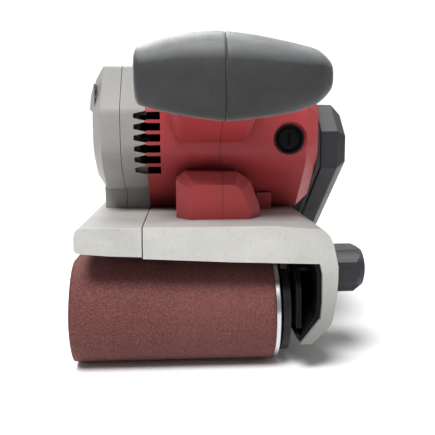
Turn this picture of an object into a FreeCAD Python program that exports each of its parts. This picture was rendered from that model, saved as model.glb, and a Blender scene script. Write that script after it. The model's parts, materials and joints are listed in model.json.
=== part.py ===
import FreeCAD, Part

import math
import os

# Handheld belt sander with a transverse motor. Millimetres, +Z up, the front towards -Y.
# The origin is the middle of the flat sanding face: X = 0 is the middle of the sanding belt's
# width, Y = 0 is half way between the two rollers, Z = 0 is the surface being sanded.

V = FreeCAD.Vector

# Sanding belt, 4 x 24 inches, and its rollers
BELT_WIDTH = 101.6
BELT_LENGTH = 609.6
BELT_THICK = 0.7
BELT_OUTER_R = 26.7
RUN_GAP = 0.3
ROLLER_R = BELT_OUTER_R - BELT_THICK - RUN_GAP
ROLLER_SPAN = round((BELT_LENGTH - 2 * math.pi * (BELT_OUTER_R - BELT_THICK / 2)) / 2)
IDLER_Y = -ROLLER_SPAN / 2
DRIVE_Y = ROLLER_SPAN / 2
# The platen holds the belt's lower run a little below the rollers
PLATEN_PROUD = 0.3
PLATEN_END = 74.0
AXLE_Z = BELT_OUTER_R + PLATEN_PROUD
BELT_LEFT = -51.6
ROLLER_LEFT = -46.0
ROLLER_RIGHT = 50.0
LAGGING = 1.5
DRIVE_SHAFT_R = 6.0
DRIVE_BEARING_R = 13.0

# Running fits
FIT = 0.05

# Hood, side arm and frame casting
HOOD_FRONT = IDLER_Y - 30
HOOD_BACK = DRIVE_Y + 18
DECK_TOP = 74.0
DECK_UNDER = 64.0
DECK_LEFT = -47.5
DECK_RIGHT = 76.8
LIP = 5.0
SEAM_X = -15.0
SEAM_GAP = 0.5
ARM_FRONT = HOOD_FRONT
ARM_BACK = -72.0
ARM_BEND_Z = 54.5
ARM_FOOT_Z = 15.0
ARM_SETBACK = 3.5
FRONT_SETBACK = 2.2
WALL_X0 = 62.0
WALL_X1 = 69.0
BRIDGE_LEFT = -46.0
BRIDGE_FRONT = -58.0
BRIDGE_BACK = 72.0
BRIDGE_BOTTOM = 6.0
BRIDGE_TOP = 49.0
SHROUD_IN = BELT_OUTER_R + 7
SHROUD_OUT = DECK_TOP - 7 - AXLE_Z
DECK_SCREWS = [(6, -45), (58, -45), (25, 96)]

# Motor, across the tool
MOTOR_Y = IDLER_Y + 60
MOTOR_Z = 114.5
SHAFT_R = 5.0
PARTING_X = 25.0
SHELL_LEFT = -14.8
SHELL_RIGHT = 79.5
SHELL_WALL = 3.0
END_LENGTH = 7.5
END_INSET = 6.5
SHELL_BOTTOM = DECK_TOP + 0.2
BRUSH_X = 63.0
BRUSH_WINDOW_R = 9.4
BRUSH_CUP_R = 8.2
BRUSH_CAP_R = 5.8
BRUSH_CUP_DEPTH = 2.6
BRUSH_FLOOR_DEPTH = 6.0
BRUSH_CAP_DEPTH = 4.6
BRUSH_SEAT_DEPTH = 9.0
BRUSH_FRONT = 41.5
BRUSH_REAR = 42.0
BRUSH_END = 23.5
STATOR_R = 31.0
ROTOR_R = 18.0
BEARING_R = 11.0

# Fan housing on the left end of the motor
FAN_SPLIT_X = -28.5
FAN_LEFT = -44.0
FAN_CHAMFER = 5.0
FAN_INSET = 8.0
FAN_TOP = 156.0
FAN_BOTTOM = 86.0
FAN_SCREWS = [(MOTOR_Y - 24, MOTOR_Z + 22), (MOTOR_Y + 24, MOTOR_Z + 22), (MOTOR_Y + 24, MOTOR_Z - 18)]
FAN_CAVITY_R = 26.5
FAN_R = 25.5
IMPELLER_X0 = -30.5
IMPELLER_X1 = -40.6
VENT_COUNT = 6
VENT_PITCH = 5.9
VENT_HEIGHT = 4.1
VENT_BOTTOM = 95.8

# Drive belt case on the right side
CASE_X = 80.0
COVER_X = 82.6
COVER_RIGHT = 98.0
COVER_CHAMFER = 6.0
CASE_ROLLER_R = 23.5
CASE_SCREWS = [(-12, 93.5), (64, 52.5)]
PULLEY_X0 = 84.0
PULLEY_X1 = 91.0
MOTOR_PULLEY_R = 6.0
ROLLER_PULLEY_R = 18.0
RIB_COUNT = 3

# Front grip and neck
GRIP_Y = IDLER_Y - 15
GRIP_Z = 145.2
GRIP_LEFT = -18.6
GRIP_RIGHT = 77.0
GRIP_CORE_R = 10.0

# Rear handle
HANDLE_X0 = 9.0
HANDLE_X1 = 41.0
HANDLE_WALL = 3.0
TRIGGER_X = 7.6
TRIGGER_Y0 = 16.0
TRIGGER_Y1 = 48.0
SHELL_SCREWS = [(-3, 150, HANDLE_X1), (154, 92, HANDLE_X1), (30, 81, HANDLE_X1), (118, 81, HANDLE_X1)]

# Idler yoke, its carrier and the tension lever
PIVOT_Y = -75.0
YOKE_RIGHT_IN = 54.0
YOKE_RIGHT_OUT = 57.7
LEVER_Y = -44.0
CRANK_THROW = 8.0
CRANK_SHAFT_R = 5.0
SPINDLE_R = 4.4
TRACK_SCREW_R = 2.9
KNOB_Z = 47.4
KNOB_R = 12.9
KNOB_X0 = 80.3
KNOB_X1 = 98.6
DUST_X = -30.0
DUST_Z = 122.0
DUST_R = 16.0


def box(x0, x1, y0, y1, z0, z1):
    return Part.makeBox(x1 - x0, y1 - y0, z1 - z0, V(x0, y0, z0))


def rod_x(radius, x0, x1, y, z):
    return Part.makeCylinder(radius, x1 - x0, V(x0, y, z), V(1, 0, 0))


def rod_y(radius, y0, y1, x, z):
    return Part.makeCylinder(radius, y1 - y0, V(x, y0, z), V(0, 1, 0))


def rod_z(radius, z0, z1, x, y):
    return Part.makeCylinder(radius, z1 - z0, V(x, y, z0), V(0, 0, 1))


def tube_x(outer, inner, x0, x1, y, z):
    return rod_x(outer, x0, x1, y, z).cut(rod_x(inner, x0 - 1, x1 + 1, y, z))


def loop(points):
    return Part.makePolygon(points + [points[0]])


def prism_x(outline, x0, x1):
    wire = loop([V(x0, y, z) for y, z in outline])
    return Part.Face(wire).extrude(V(x1 - x0, 0, 0))


def prism_y(outline, y0, y1):
    wire = loop([V(x, y0, z) for x, z in outline])
    return Part.Face(wire).extrude(V(0, y1 - y0, 0))


def taper_x(outline0, x0, outline1, x1):
    wires = [loop([V(x0, y, z) for y, z in outline0]), loop([V(x1, y, z) for y, z in outline1])]
    return Part.makeLoft(wires, True, True)


def taper_y(outline0, y0, outline1, y1):
    wires = [loop([V(x, y0, z) for x, z in outline0]), loop([V(x, y1, z) for x, z in outline1])]
    return Part.makeLoft(wires, True, True)


def inset(outline, distance):
    """A convex outline with each side moved inwards; a negative distance moves it outwards."""
    centre_a = sum(p[0] for p in outline) / len(outline)
    centre_b = sum(p[1] for p in outline) / len(outline)
    lines = []
    for (a0, b0), (a1, b1) in zip(outline, outline[1:] + outline[:1]):
        length = math.hypot(a1 - a0, b1 - b0)
        na, nb = (b0 - b1) / length, (a1 - a0) / length
        if na * (centre_a - a0) + nb * (centre_b - b0) < 0:
            na, nb = -na, -nb
        lines.append((na, nb, na * a0 + nb * b0 + distance))
    moved = []
    for (na, nb, d), (ma, mb, e) in zip(lines[-1:] + lines[:-1], lines):
        det = na * mb - nb * ma
        moved.append(((d * mb - nb * e) / det, (na * e - d * ma) / det))
    return moved


def rounded_wire(outline, radii, x):
    """The outline in the plane at x, each corner rounded by one radius or by its own from a list."""
    starts, middles, ends = [], [], []
    count = len(outline)
    for i in range(count):
        radius = radii[i] if isinstance(radii, list) else radii
        corner = V(x, *outline[i])
        back = (V(x, *outline[i - 1]) - corner).normalize()
        ahead = (V(x, *outline[(i + 1) % count]) - corner).normalize()
        half = back.getAngle(ahead) / 2
        reach = radius / math.tan(half)
        bisector = (back + ahead).normalize()
        starts.append(corner + back * reach)
        ends.append(corner + ahead * reach)
        middles.append(corner + bisector * (radius / math.sin(half) - radius))
    edges = []
    for i in range(count):
        edges.append(Part.Arc(starts[i], middles[i], ends[i]).toShape())
        edges.append(Part.LineSegment(ends[i], starts[(i + 1) % count]).toShape())
    return Part.Wire(edges)


def rounded_prism(outline, radii, x0, x1):
    return Part.Face(rounded_wire(outline, radii, x0)).extrude(V(x1 - x0, 0, 0))


def rounded_taper(outline0, radii0, x0, outline1, radii1, x1):
    wires = [rounded_wire(outline0, radii0, x0), rounded_wire(outline1, radii1, x1)]
    return Part.makeLoft(wires, True, True)


def scaled(radii, factor):
    return [radius * factor for radius in radii]


def capsule_x(centre0, radius0, centre1, radius1, x0, x1):
    """The solid that a tight band round two wheels would enclose."""
    dy, dz = centre1[0] - centre0[0], centre1[1] - centre0[1]
    along = math.atan2(dz, dy)
    wrap = math.acos((radius0 - radius1) / math.hypot(dy, dz))

    def at(centre, radius, angle):
        return V(x0, centre[0] + radius * math.cos(angle), centre[1] + radius * math.sin(angle))

    up0, up1 = at(centre0, radius0, along + wrap), at(centre1, radius1, along + wrap)
    low0, low1 = at(centre0, radius0, along - wrap), at(centre1, radius1, along - wrap)
    edges = [
        Part.Arc(up0, at(centre0, radius0, along + math.pi), low0).toShape(),
        Part.LineSegment(low0, low1).toShape(),
        Part.Arc(low1, at(centre1, radius1, along), up1).toShape(),
        Part.LineSegment(up1, up0).toShape(),
    ]
    return Part.Face(Part.Wire(edges)).extrude(V(x1 - x0, 0, 0))


def fuse_all(solids):
    return solids[0].fuse(solids[1:]).removeSplitter()


def round_edges(solid, radius, wanted):
    return solid.makeFillet(radius, [edge for edge in solid.Edges if wanted(edge)])


def coil(radius, wire_radius, length, turns, start, direction):
    """A round-wire compression spring between two planes."""
    height = length - 2 * wire_radius
    helix = Part.makeHelix(height / turns, height, radius)
    section = Part.Wire(Part.makeCircle(wire_radius, V(radius, 0, 0), V(0, 1, 0)))
    spring = Part.Wire(helix.Edges).makePipeShell([section], True, True)
    spring.rotate(V(0, 0, 0), V(0, 0, 1).cross(direction), 90)
    spring.translate(start + direction * wire_radius)
    return spring


# Outlines, as (Y, Z)
SHELL_OUTLINE = [
    (MOTOR_Y - 41.5, 103), (MOTOR_Y - 41.5, 131), (MOTOR_Y - 18, 157), (MOTOR_Y + 18, 157),
    (MOTOR_Y + 42, 133), (MOTOR_Y + 42, 98), (MOTOR_Y + 21, SHELL_BOTTOM), (MOTOR_Y - 7, SHELL_BOTTOM),
]
SHELL_ROUNDS = [19, 7, 6, 6, 6, 10, 5, 5]
FAN_OUTLINE = [
    (MOTOR_Y - 41, 104), (MOTOR_Y - 41, 131), (MOTOR_Y - 18, FAN_TOP), (MOTOR_Y + 18, FAN_TOP),
    (MOTOR_Y + 42, 133), (MOTOR_Y + 42, 98), (MOTOR_Y + 26, FAN_BOTTOM), (MOTOR_Y - 16, FAN_BOTTOM),
]
FAN_ROUNDS = [22, 9, 6, 6, 6, 10, 8, 10]
HANDLE_OUTLINE = [
    (-20, 154), (56, 161), (112, 152), (150, 129),
    (168, 106), (168, 86), (156, SHELL_BOTTOM), (-20, SHELL_BOTTOM),
]
HANDLE_GAP = [
    (2, 100), (2, 121), (12, 130), (58, 134), (104, 126), (132, 107), (140, 96), (132, 88), (14, 88),
]


CASE_FLAT = CASE_ROLLER_R * math.tan(math.pi / 8)
CASE_OUTLINE = [
    (MOTOR_Y - 28.5, 98), (MOTOR_Y - 28.5, 118.5), (MOTOR_Y - 10, 133.8), (MOTOR_Y + 14, 134.8),
    (DRIVE_Y + CASE_FLAT, AXLE_Z + CASE_ROLLER_R), (DRIVE_Y + CASE_ROLLER_R, AXLE_Z + CASE_FLAT),
    (DRIVE_Y + CASE_ROLLER_R, AXLE_Z - CASE_FLAT), (DRIVE_Y + CASE_FLAT, AXLE_Z - CASE_ROLLER_R),
    (DRIVE_Y - CASE_FLAT, AXLE_Z - CASE_ROLLER_R), (MOTOR_Y + 49, 49.5),
]


# ---- frame casting and hood ----

def frame_bridge():
    """The beam inside the belt loop, with the carrier's guide and the crank's pocket in it."""
    beam = box(BRIDGE_LEFT, WALL_X0 + 1, BRIDGE_FRONT, BRIDGE_BACK, BRIDGE_BOTTOM, BRIDGE_TOP)
    guide = box(-12.4, 12.4, BRIDGE_FRONT - 1, 33, 16.6, 37.4)
    pocket = box(-30, 12.6, BRIDGE_FRONT - 1, -23, 12, BRIDGE_TOP - 3.5)
    lever_bore = rod_x(CRANK_SHAFT_R + FIT, BRIDGE_LEFT - 1, -29, LEVER_Y, AXLE_Z)
    back_left = box(BRIDGE_LEFT - 1, -18, -18, BRIDGE_BACK - 6, 12, BRIDGE_TOP - 5)
    back_right = box(18, WALL_X0 - 4, BRIDGE_FRONT + 5, BRIDGE_BACK - 6, 12, BRIDGE_TOP + 1)
    back_middle = box(-14, 14, 40, BRIDGE_BACK + 1, 12, BRIDGE_TOP - 5)
    return beam.cut([guide, pocket, lever_bore, back_left, back_right, back_middle])


def frame_arm():
    """The hooked guard in front of the idler's adjuster."""
    outline = [
        (70, 64), (75.2, 68.8), (76.8, 65), (79, 54), (79.2, 47), (78.9, 40), (77.4, 27), (76.4, 24.3),
        (67.8, 14.6), (61.6, 14.4), (71.3, 27.5), (71.8, 36), (71.4, 50), (70, 55.5),
    ]
    arm = prism_y(outline, ARM_FRONT, ARM_BACK)
    arm = arm.fuse(box(WALL_X0, 74, ARM_BACK - 4, ARM_BACK, 30, 66))
    boss = rod_x(11, 74, KNOB_X0 - 0.6, IDLER_Y, KNOB_Z)
    return arm.fuse(boss)


def arm_slope(offset):
    """What lies before the arm's lower front, which falls back towards its foot."""
    front = ARM_FRONT + offset
    outline = [
        (ARM_FRONT - 1, ARM_BEND_Z), (front, ARM_BEND_Z), (front + ARM_SETBACK, ARM_FOOT_Z),
        (front + ARM_SETBACK, 0), (ARM_FRONT - 1, 0),
    ]
    return prism_x(outline, YOKE_RIGHT_OUT, COVER_X)


def front_rake():
    """What lies before the hood's front edge, which leans back towards the deck."""
    outline = [
        (HOOD_FRONT - 1, ARM_BEND_Z), (HOOD_FRONT, ARM_BEND_Z), (HOOD_FRONT + FRONT_SETBACK, DECK_TOP),
        (HOOD_FRONT + FRONT_SETBACK, DECK_TOP + 1), (HOOD_FRONT - 1, DECK_TOP + 1),
    ]
    return prism_x(outline, DECK_LEFT - 1, COVER_X)


def frame_shroud():
    """The curved rear guard over the drive roller."""
    ring = tube_x(SHROUD_OUT, SHROUD_IN, SEAM_X + SEAM_GAP / 2, WALL_X1, DRIVE_Y, AXLE_Z)
    return ring.common(box(SEAM_X, WALL_X1, DRIVE_Y + 2, DRIVE_Y + 60, 22, DECK_TOP))


def deck_slope():
    """The wedge taken off the deck's front right corner, so that the edge falls to the right."""
    start = V(46, HOOD_FRONT - 1, DECK_TOP)
    low = V(DECK_RIGHT + 3, HOOD_FRONT - 1, DECK_TOP - 2.8)
    high = V(DECK_RIGHT + 3, HOOD_FRONT - 1, DECK_TOP + 5)
    back = V(DECK_RIGHT + 3, HOOD_FRONT + 60, DECK_TOP)
    faces = [Part.Face(loop(list(corners))) for corners in (
        (start, low, high), (start, low, back), (start, high, back), (low, high, back))]
    return Part.Solid(Part.Shell(faces))


def main_frame():
    left = SEAM_X + SEAM_GAP / 2
    deck_outline = [
        (left, DECK_TOP), (66, DECK_TOP), (72.5, 71.5), (75.2, 68.8), (DECK_RIGHT, 65),
        (DECK_RIGHT, DECK_UNDER), (left, DECK_UNDER),
    ]
    deck = prism_y(deck_outline, HOOD_FRONT, HOOD_BACK)
    lip_outline = [(left, 59.2), (28, 57), (70, 55.5), (74, 58), (74, 66), (left, 66)]
    lip = prism_y(lip_outline, HOOD_FRONT, HOOD_FRONT + LIP)
    wall = box(WALL_X0, WALL_X1, ARM_BACK - 2, HOOD_BACK, 8, 66)
    hub = rod_x(20, 54.5, COVER_X - 0.1, DRIVE_Y, AXLE_Z)
    plate = prism_x(inset(CASE_OUTLINE, 1.0), CASE_X, COVER_X - 0.1)
    web = prism_x(inset(CASE_OUTLINE, 1.0), WALL_X1 - 1, CASE_X + 1).common(box(60, 90, 10, 90, 20, 66))
    web = web.cut(box(60, CASE_X - 4, 20, 70, 28, 60))
    solid = fuse_all([deck, lip, frame_arm(), wall, frame_bridge(), hub, plate, web, frame_shroud()])
    shaft_hole = rod_x(9, 50, COVER_X + 1, DRIVE_Y, AXLE_Z)
    seats = [rod_x(DRIVE_BEARING_R, x0, x1, DRIVE_Y, AXLE_Z) for x0, x1 in ((54, 62), (74, COVER_X))]
    motor_hole = rod_x(13, CASE_X - 2, COVER_X + 1, MOTOR_Y, MOTOR_Z)
    knob_hole = rod_x(SPINDLE_R + 0.1, 66, KNOB_X0 + 1, IDLER_Y, KNOB_Z)
    screw_holes = [rod_z(2.0, DECK_UNDER - 1, DECK_TOP + 1, x, y) for x, y in DECK_SCREWS]
    slopes = [deck_slope(), arm_slope(0), front_rake()]
    return solid.cut([shaft_hole, motor_hole, knob_hole] + slopes + seats + screw_holes)


def deck_screws():
    """Screws up through the deck into the motor shells' feet."""
    screws = []
    for x, y in DECK_SCREWS:
        head = rod_z(3.4, DECK_UNDER - 2.2, DECK_UNDER, x, y)
        shank = rod_z(1.95, DECK_UNDER, SHELL_BOTTOM, x, y)
        screws.append(head.fuse(shank).cut(rod_z(1.6, DECK_UNDER - 3, DECK_UNDER - 1, x, y)))
    return screws


def hood_side_piece():
    """The left part of the hood, over the open side where the belt comes off."""
    right = SEAM_X - SEAM_GAP / 2
    outline = [
        (right, DECK_TOP), (DECK_LEFT + 2.4, DECK_TOP), (DECK_LEFT + 0.8, DECK_TOP - 1.4),
        (DECK_LEFT, DECK_TOP - 3.6), (DECK_LEFT, DECK_UNDER), (right, DECK_UNDER),
    ]
    deck = prism_y(outline, HOOD_FRONT, HOOD_BACK)
    lip_outline = [
        (right, 60), (-30, 60.6), (DECK_LEFT + 1.2, 62), (DECK_LEFT, 63.6),
        (DECK_LEFT, DECK_UNDER + 2), (right, DECK_UNDER + 2),
    ]
    lip = prism_y(lip_outline, HOOD_FRONT, HOOD_FRONT + LIP)
    ring = tube_x(SHROUD_OUT, SHROUD_IN, DECK_LEFT + 1, right, DRIVE_Y, AXLE_Z)
    shroud = ring.common(box(DECK_LEFT, right, DRIVE_Y + 2, DRIVE_Y + 60, 30, DECK_TOP))
    duct = box(-40, -31, -50, -30, DECK_UNDER - 1, DECK_TOP + 1)
    return fuse_all([deck, lip, shroud]).cut([duct, front_rake()])


def side_lining():
    """The black liner inside the arm: a smooth panel, and ribs that arch back from it."""
    front, back = ARM_FRONT + 2, ARM_BACK - 4.2
    skin_outline = [
        (69.6, 55), (71.0, 50), (71.4, 36.1), (70.8, 27.8), (61.9, 15.8), (59.9, 18.4), (60.8, 19.4),
        (62.1, 18.0), (69.0, 28.5), (69.6, 36.5), (69.2, 50), (67.8, 55),
    ]
    skin = prism_y(skin_outline, front, back)
    room_outline = [
        (69.5, 55), (70.9, 50), (71.3, 36.1), (70.7, 28.0), (62.1, 16.4), (60, 19), (60, 55),
    ]
    room = prism_y(room_outline, front, back)
    wall = prism_y(room_outline, ARM_BACK - 8, back)
    panel_outline = [(back, 21), (front + 4, 22), (front + 5, 41), (front + 14, 52), (back, 55)]
    panel = prism_x(panel_outline, 59.9, 62.4)
    ribs = []
    for x, reach in ((63.6, 52), (65.8, 46), (68.0, 38)):
        rib = rod_x(reach / 2, x, x + 1.3, back - 2, 38).common(room)
        ribs.append(rib)
    tie = box(61, 70, back - 6, back, 36, 40)
    solid = fuse_all([skin, wall, panel, tie] + ribs)
    return solid.cut([rod_x(5.5, 58, 76, IDLER_Y, KNOB_Z), arm_slope(2)])


def platen_pad():
    return box(-47, 47, -70, 70, 1.6, BRIDGE_BOTTOM)


def platen_plate():
    end = PLATEN_END
    flat = box(-48, 48, -end, end, BELT_THICK + FIT, 1.6)
    front = box(-48, 48, -end - 2, -end, 2.2, 7)
    toe = prism_x([(-end, BELT_THICK + FIT), (-end, 1.6), (-end - 0.6, 2.6), (-end - 2, 2.2)], -48, 48)
    return fuse_all([flat, toe, front])


def platen_screws():
    screws = []
    for x in (-36, 36):
        screws.append(rod_y(3, -78, -76, x, 4.6))
    return screws


# ---- rollers and belts ----

def belt_face(depth, x):
    """The face that the belt encloses in the plane at x, that far in from its outer surface."""
    radius = BELT_OUTER_R - depth
    toward = math.atan2(AXLE_Z - depth, DRIVE_Y - PLATEN_END)
    reach = math.hypot(AXLE_Z - depth, DRIVE_Y - PLATEN_END)
    rise = toward - math.asin(radius / reach)
    length = math.sqrt(reach ** 2 - radius ** 2)
    touch_y = PLATEN_END + length * math.cos(rise)
    touch_z = depth + length * math.sin(rise)
    back_low, front_low = V(x, touch_y, touch_z), V(x, -touch_y, touch_z)
    back_top, front_top = V(x, DRIVE_Y, AXLE_Z + radius), V(x, IDLER_Y, AXLE_Z + radius)
    back_end, front_end = V(x, PLATEN_END, depth), V(x, -PLATEN_END, depth)
    edges = [
        Part.LineSegment(front_end, back_end).toShape(),
        Part.LineSegment(back_end, back_low).toShape(),
        Part.Arc(back_low, V(x, DRIVE_Y + radius, AXLE_Z), back_top).toShape(),
        Part.LineSegment(back_top, front_top).toShape(),
        Part.Arc(front_top, V(x, IDLER_Y - radius, AXLE_Z), front_low).toShape(),
        Part.LineSegment(front_low, front_end).toShape(),
    ]
    return Part.Face(Part.Wire(edges))


def sanding_belt():
    outer = belt_face(0, BELT_LEFT).extrude(V(BELT_WIDTH, 0, 0))
    return outer.cut(belt_face(BELT_THICK, BELT_LEFT - 1).extrude(V(BELT_WIDTH + 2, 0, 0)))


def idler_roller():
    body = rod_x(ROLLER_R, ROLLER_LEFT, ROLLER_RIGHT, IDLER_Y, AXLE_Z)
    bore = rod_x(7, ROLLER_LEFT - 1, ROLLER_RIGHT + 1, IDLER_Y, AXLE_Z)
    left_seat = rod_x(BEARING_R, ROLLER_LEFT - 1, ROLLER_LEFT + 7, IDLER_Y, AXLE_Z)
    right_seat = rod_x(BEARING_R, ROLLER_RIGHT - 7, ROLLER_RIGHT + 1, IDLER_Y, AXLE_Z)
    hollow = tube_x(23, 14, ROLLER_LEFT - 1, 36, IDLER_Y, AXLE_Z)
    return body.cut([bore, left_seat, right_seat, hollow])


def idler_end_ring():
    ring = tube_x(ROLLER_R, 12.5, ROLLER_RIGHT, ROLLER_RIGHT + 2.2, IDLER_Y, AXLE_Z)
    return ring.cut(tube_x(ROLLER_R - 1.5, 14, ROLLER_RIGHT + 1.4, ROLLER_RIGHT + 3, IDLER_Y, AXLE_Z))


def idler_bearings():
    left = tube_x(BEARING_R, SHAFT_R + FIT, ROLLER_LEFT, ROLLER_LEFT + 7, IDLER_Y, AXLE_Z)
    right = tube_x(BEARING_R, SHAFT_R + FIT, ROLLER_RIGHT - 7, ROLLER_RIGHT, IDLER_Y, AXLE_Z)
    return [left, right]


def drive_shaft():
    return rod_x(DRIVE_SHAFT_R, ROLLER_LEFT, PULLEY_X1 + 2, DRIVE_Y, AXLE_Z)


def drive_roller():
    body = tube_x(ROLLER_R - LAGGING, DRIVE_SHAFT_R, ROLLER_LEFT, ROLLER_RIGHT, DRIVE_Y, AXLE_Z)
    return body.cut(tube_x(21, 12, ROLLER_LEFT - 1, 40, DRIVE_Y, AXLE_Z))


def roller_lagging():
    """The rubber coat that grips the sanding belt."""
    coat = tube_x(ROLLER_R, ROLLER_R - LAGGING, ROLLER_LEFT, ROLLER_RIGHT, DRIVE_Y, AXLE_Z)
    grooves = [tube_x(ROLLER_R + 1, ROLLER_R - 0.7, x, x + 1.6, DRIVE_Y, AXLE_Z) for x in range(-40, 48, 8)]
    return coat.cut(grooves)


def drive_bearings():
    return [tube_x(DRIVE_BEARING_R, DRIVE_SHAFT_R + FIT, x, x + 7, DRIVE_Y, AXLE_Z) for x in (55, 74.5)]


def grooves(radius, y, z):
    pitch = (PULLEY_X1 - PULLEY_X0) / RIB_COUNT
    cuts = []
    for i in range(RIB_COUNT):
        x = PULLEY_X0 + pitch * (i + 0.5)
        cuts.append(tube_x(radius + 1, radius - 1.5, x - 0.75, x + 0.75, y, z))
    return cuts


def motor_pulley():
    body = tube_x(MOTOR_PULLEY_R, SHAFT_R, PULLEY_X0, PULLEY_X1, MOTOR_Y, MOTOR_Z)
    rib_cuts = []
    for cut in grooves(MOTOR_PULLEY_R, MOTOR_Y, MOTOR_Z):
        rib_cuts.append(cut.cut(rod_x(SHAFT_R + 0.4, PULLEY_X0, PULLEY_X1, MOTOR_Y, MOTOR_Z)))
    return body.cut(rib_cuts)


def roller_pulley():
    body = tube_x(ROLLER_PULLEY_R, DRIVE_SHAFT_R, PULLEY_X0, PULLEY_X1, DRIVE_Y, AXLE_Z)
    dish = tube_x(ROLLER_PULLEY_R - 4, 10, PULLEY_X1 - 3, PULLEY_X1 + 1, DRIVE_Y, AXLE_Z)
    return body.cut(grooves(ROLLER_PULLEY_R, DRIVE_Y, AXLE_Z) + [dish])


def drive_belt():
    motor, drive = (MOTOR_Y, MOTOR_Z), (DRIVE_Y, AXLE_Z)

    def loop_at(offset, x0, x1):
        return capsule_x(motor, MOTOR_PULLEY_R + offset, drive, ROLLER_PULLEY_R + offset, x0, x1)

    def band(inner, outer, x0, x1):
        return loop_at(outer, x0, x1).cut(loop_at(inner, x0 - 1, x1 + 1))

    bands = [band(RUN_GAP, 1.8, PULLEY_X0 + 0.2, PULLEY_X1 - 0.2)]
    pitch = (PULLEY_X1 - PULLEY_X0) / RIB_COUNT
    for i in range(RIB_COUNT):
        x = PULLEY_X0 + pitch * (i + 0.5)
        bands.append(band(-0.4, RUN_GAP + 0.1, x - 0.4, x + 0.4))
    return fuse_all(bands)


def drive_cover():
    shoulder = COVER_RIGHT - COVER_CHAMFER
    side = prism_x(CASE_OUTLINE, COVER_X, shoulder)
    crown = taper_x(CASE_OUTLINE, shoulder, inset(CASE_OUTLINE, COVER_CHAMFER), COVER_RIGHT)
    inner_x = COVER_RIGHT - 2.4
    hollow = prism_x(inset(CASE_OUTLINE, 2.4), COVER_X - 1, shoulder - 0.6)
    hollow_crown = taper_x(
        inset(CASE_OUTLINE, 2.4), shoulder - 0.6, inset(CASE_OUTLINE, COVER_CHAMFER + 0.6), inner_x)
    solid = side.fuse(crown).cut([hollow, hollow_crown])
    posts = []
    counterbores = []
    for y, z in CASE_SCREWS:
        posts.append(rod_x(4.2, COVER_X, inner_x + 0.4, y, z))
        counterbores.append(rod_x(3.4, COVER_RIGHT - 2, COVER_RIGHT + 1, y, z))
    return fuse_all([solid] + posts).cut(counterbores)


def cover_screws():
    screws = []
    for y, z in CASE_SCREWS:
        head = rod_x(3.2, COVER_RIGHT - 2, COVER_RIGHT - 0.4, y, z)
        screws.append(head.cut(rod_x(1.5, COVER_RIGHT - 1.2, COVER_RIGHT, y, z)))
    return screws


# ---- idler mechanism ----

def idler_yoke():
    bar = box(-49.5, YOKE_RIGHT_OUT, PIVOT_Y - 5, PIVOT_Y + 5, 20, 34)
    left_arm = rod_x(12, -49.5, -47, IDLER_Y, AXLE_Z)
    left_arm = left_arm.fuse(box(-49.5, -47, IDLER_Y, PIVOT_Y + 5, 17, 37))
    right_arm = rod_x(22.5, YOKE_RIGHT_IN, YOKE_RIGHT_OUT, IDLER_Y, AXLE_Z)
    right_arm = right_arm.fuse(box(YOKE_RIGHT_IN, YOKE_RIGHT_OUT, IDLER_Y, PIVOT_Y + 5, 14, 40))
    tab = box(YOKE_RIGHT_IN, YOKE_RIGHT_OUT, IDLER_Y - 7, IDLER_Y + 7, 40, 53)
    solid = fuse_all([bar, left_arm, right_arm, tab])
    pivot = rod_z(3 + FIT, 10, 45, 0, PIVOT_Y)
    axle_bore = rod_x(SHAFT_R, -60, 60, IDLER_Y, AXLE_Z)
    rim = tube_x(19.5, 12, YOKE_RIGHT_OUT - 1, YOKE_RIGHT_OUT + 1, IDLER_Y, AXLE_Z)
    return solid.cut([pivot, axle_bore, rim])


def idler_axle():
    return rod_x(SHAFT_R, -49.5, YOKE_RIGHT_OUT, IDLER_Y, AXLE_Z)


def yoke_carrier():
    tail = box(-12, 12, PIVOT_Y + 9, -5, 17, 37)
    jaw_gap = box(-10, 10, PIVOT_Y - 8, PIVOT_Y + 7, 19.6, 34.4)
    fork = box(-9, 9, PIVOT_Y - 7, PIVOT_Y + 14, 13, 41).cut(jaw_gap)
    ear = box(-23.6, -11, LEVER_Y - 7, LEVER_Y + 9, 21, 41)
    slot = box(-25, -13, LEVER_Y - 3, LEVER_Y + 4.7, 24, 38.2)
    return fuse_all([tail, fork, ear]).cut([slot, rod_z(3, 10, 45, 0, PIVOT_Y)])


def yoke_pivot_pin():
    return rod_z(3, 13, 41, 0, PIVOT_Y)


def tension_spring():
    return coil(6.5, 0.9, 38, 7, V(0, -5, AXLE_Z), V(0, 1, 0))


def lever_crank():
    shaft = rod_x(CRANK_SHAFT_R, -50.4, -24.2, LEVER_Y, AXLE_Z)
    disc = rod_x(11.2, -28, -24.2, LEVER_Y, AXLE_Z)
    pin = rod_x(2.4, -25, -14.5, LEVER_Y, AXLE_Z + CRANK_THROW)
    return fuse_all([shaft, disc, pin])


def tension_lever():
    """A blade that swings past the belt's left edge, on a hub that reaches in to the crank."""
    tip = (LEVER_Y - 42, AXLE_Z + 1)
    inner = BELT_LEFT - 0.4
    blade = capsule_x((LEVER_Y, AXLE_Z), 8.5, tip, 5.5, -55.5, inner)
    hub = rod_x(8.0, inner - 1, -50.5, LEVER_Y, AXLE_Z)
    finger = capsule_x((tip[0] + 14, tip[1]), 6.2, tip, 5.5, -57.5, -55)
    arm = fuse_all([blade, hub, finger])
    ribs = [box(-58, -56.6, tip[0] + dy, tip[0] + dy + 1.4, 15, 40) for dy in (0, 4, 8, 12)]
    return arm.cut(ribs + [rod_x(2.6, -56, -54, LEVER_Y, AXLE_Z)])


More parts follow.
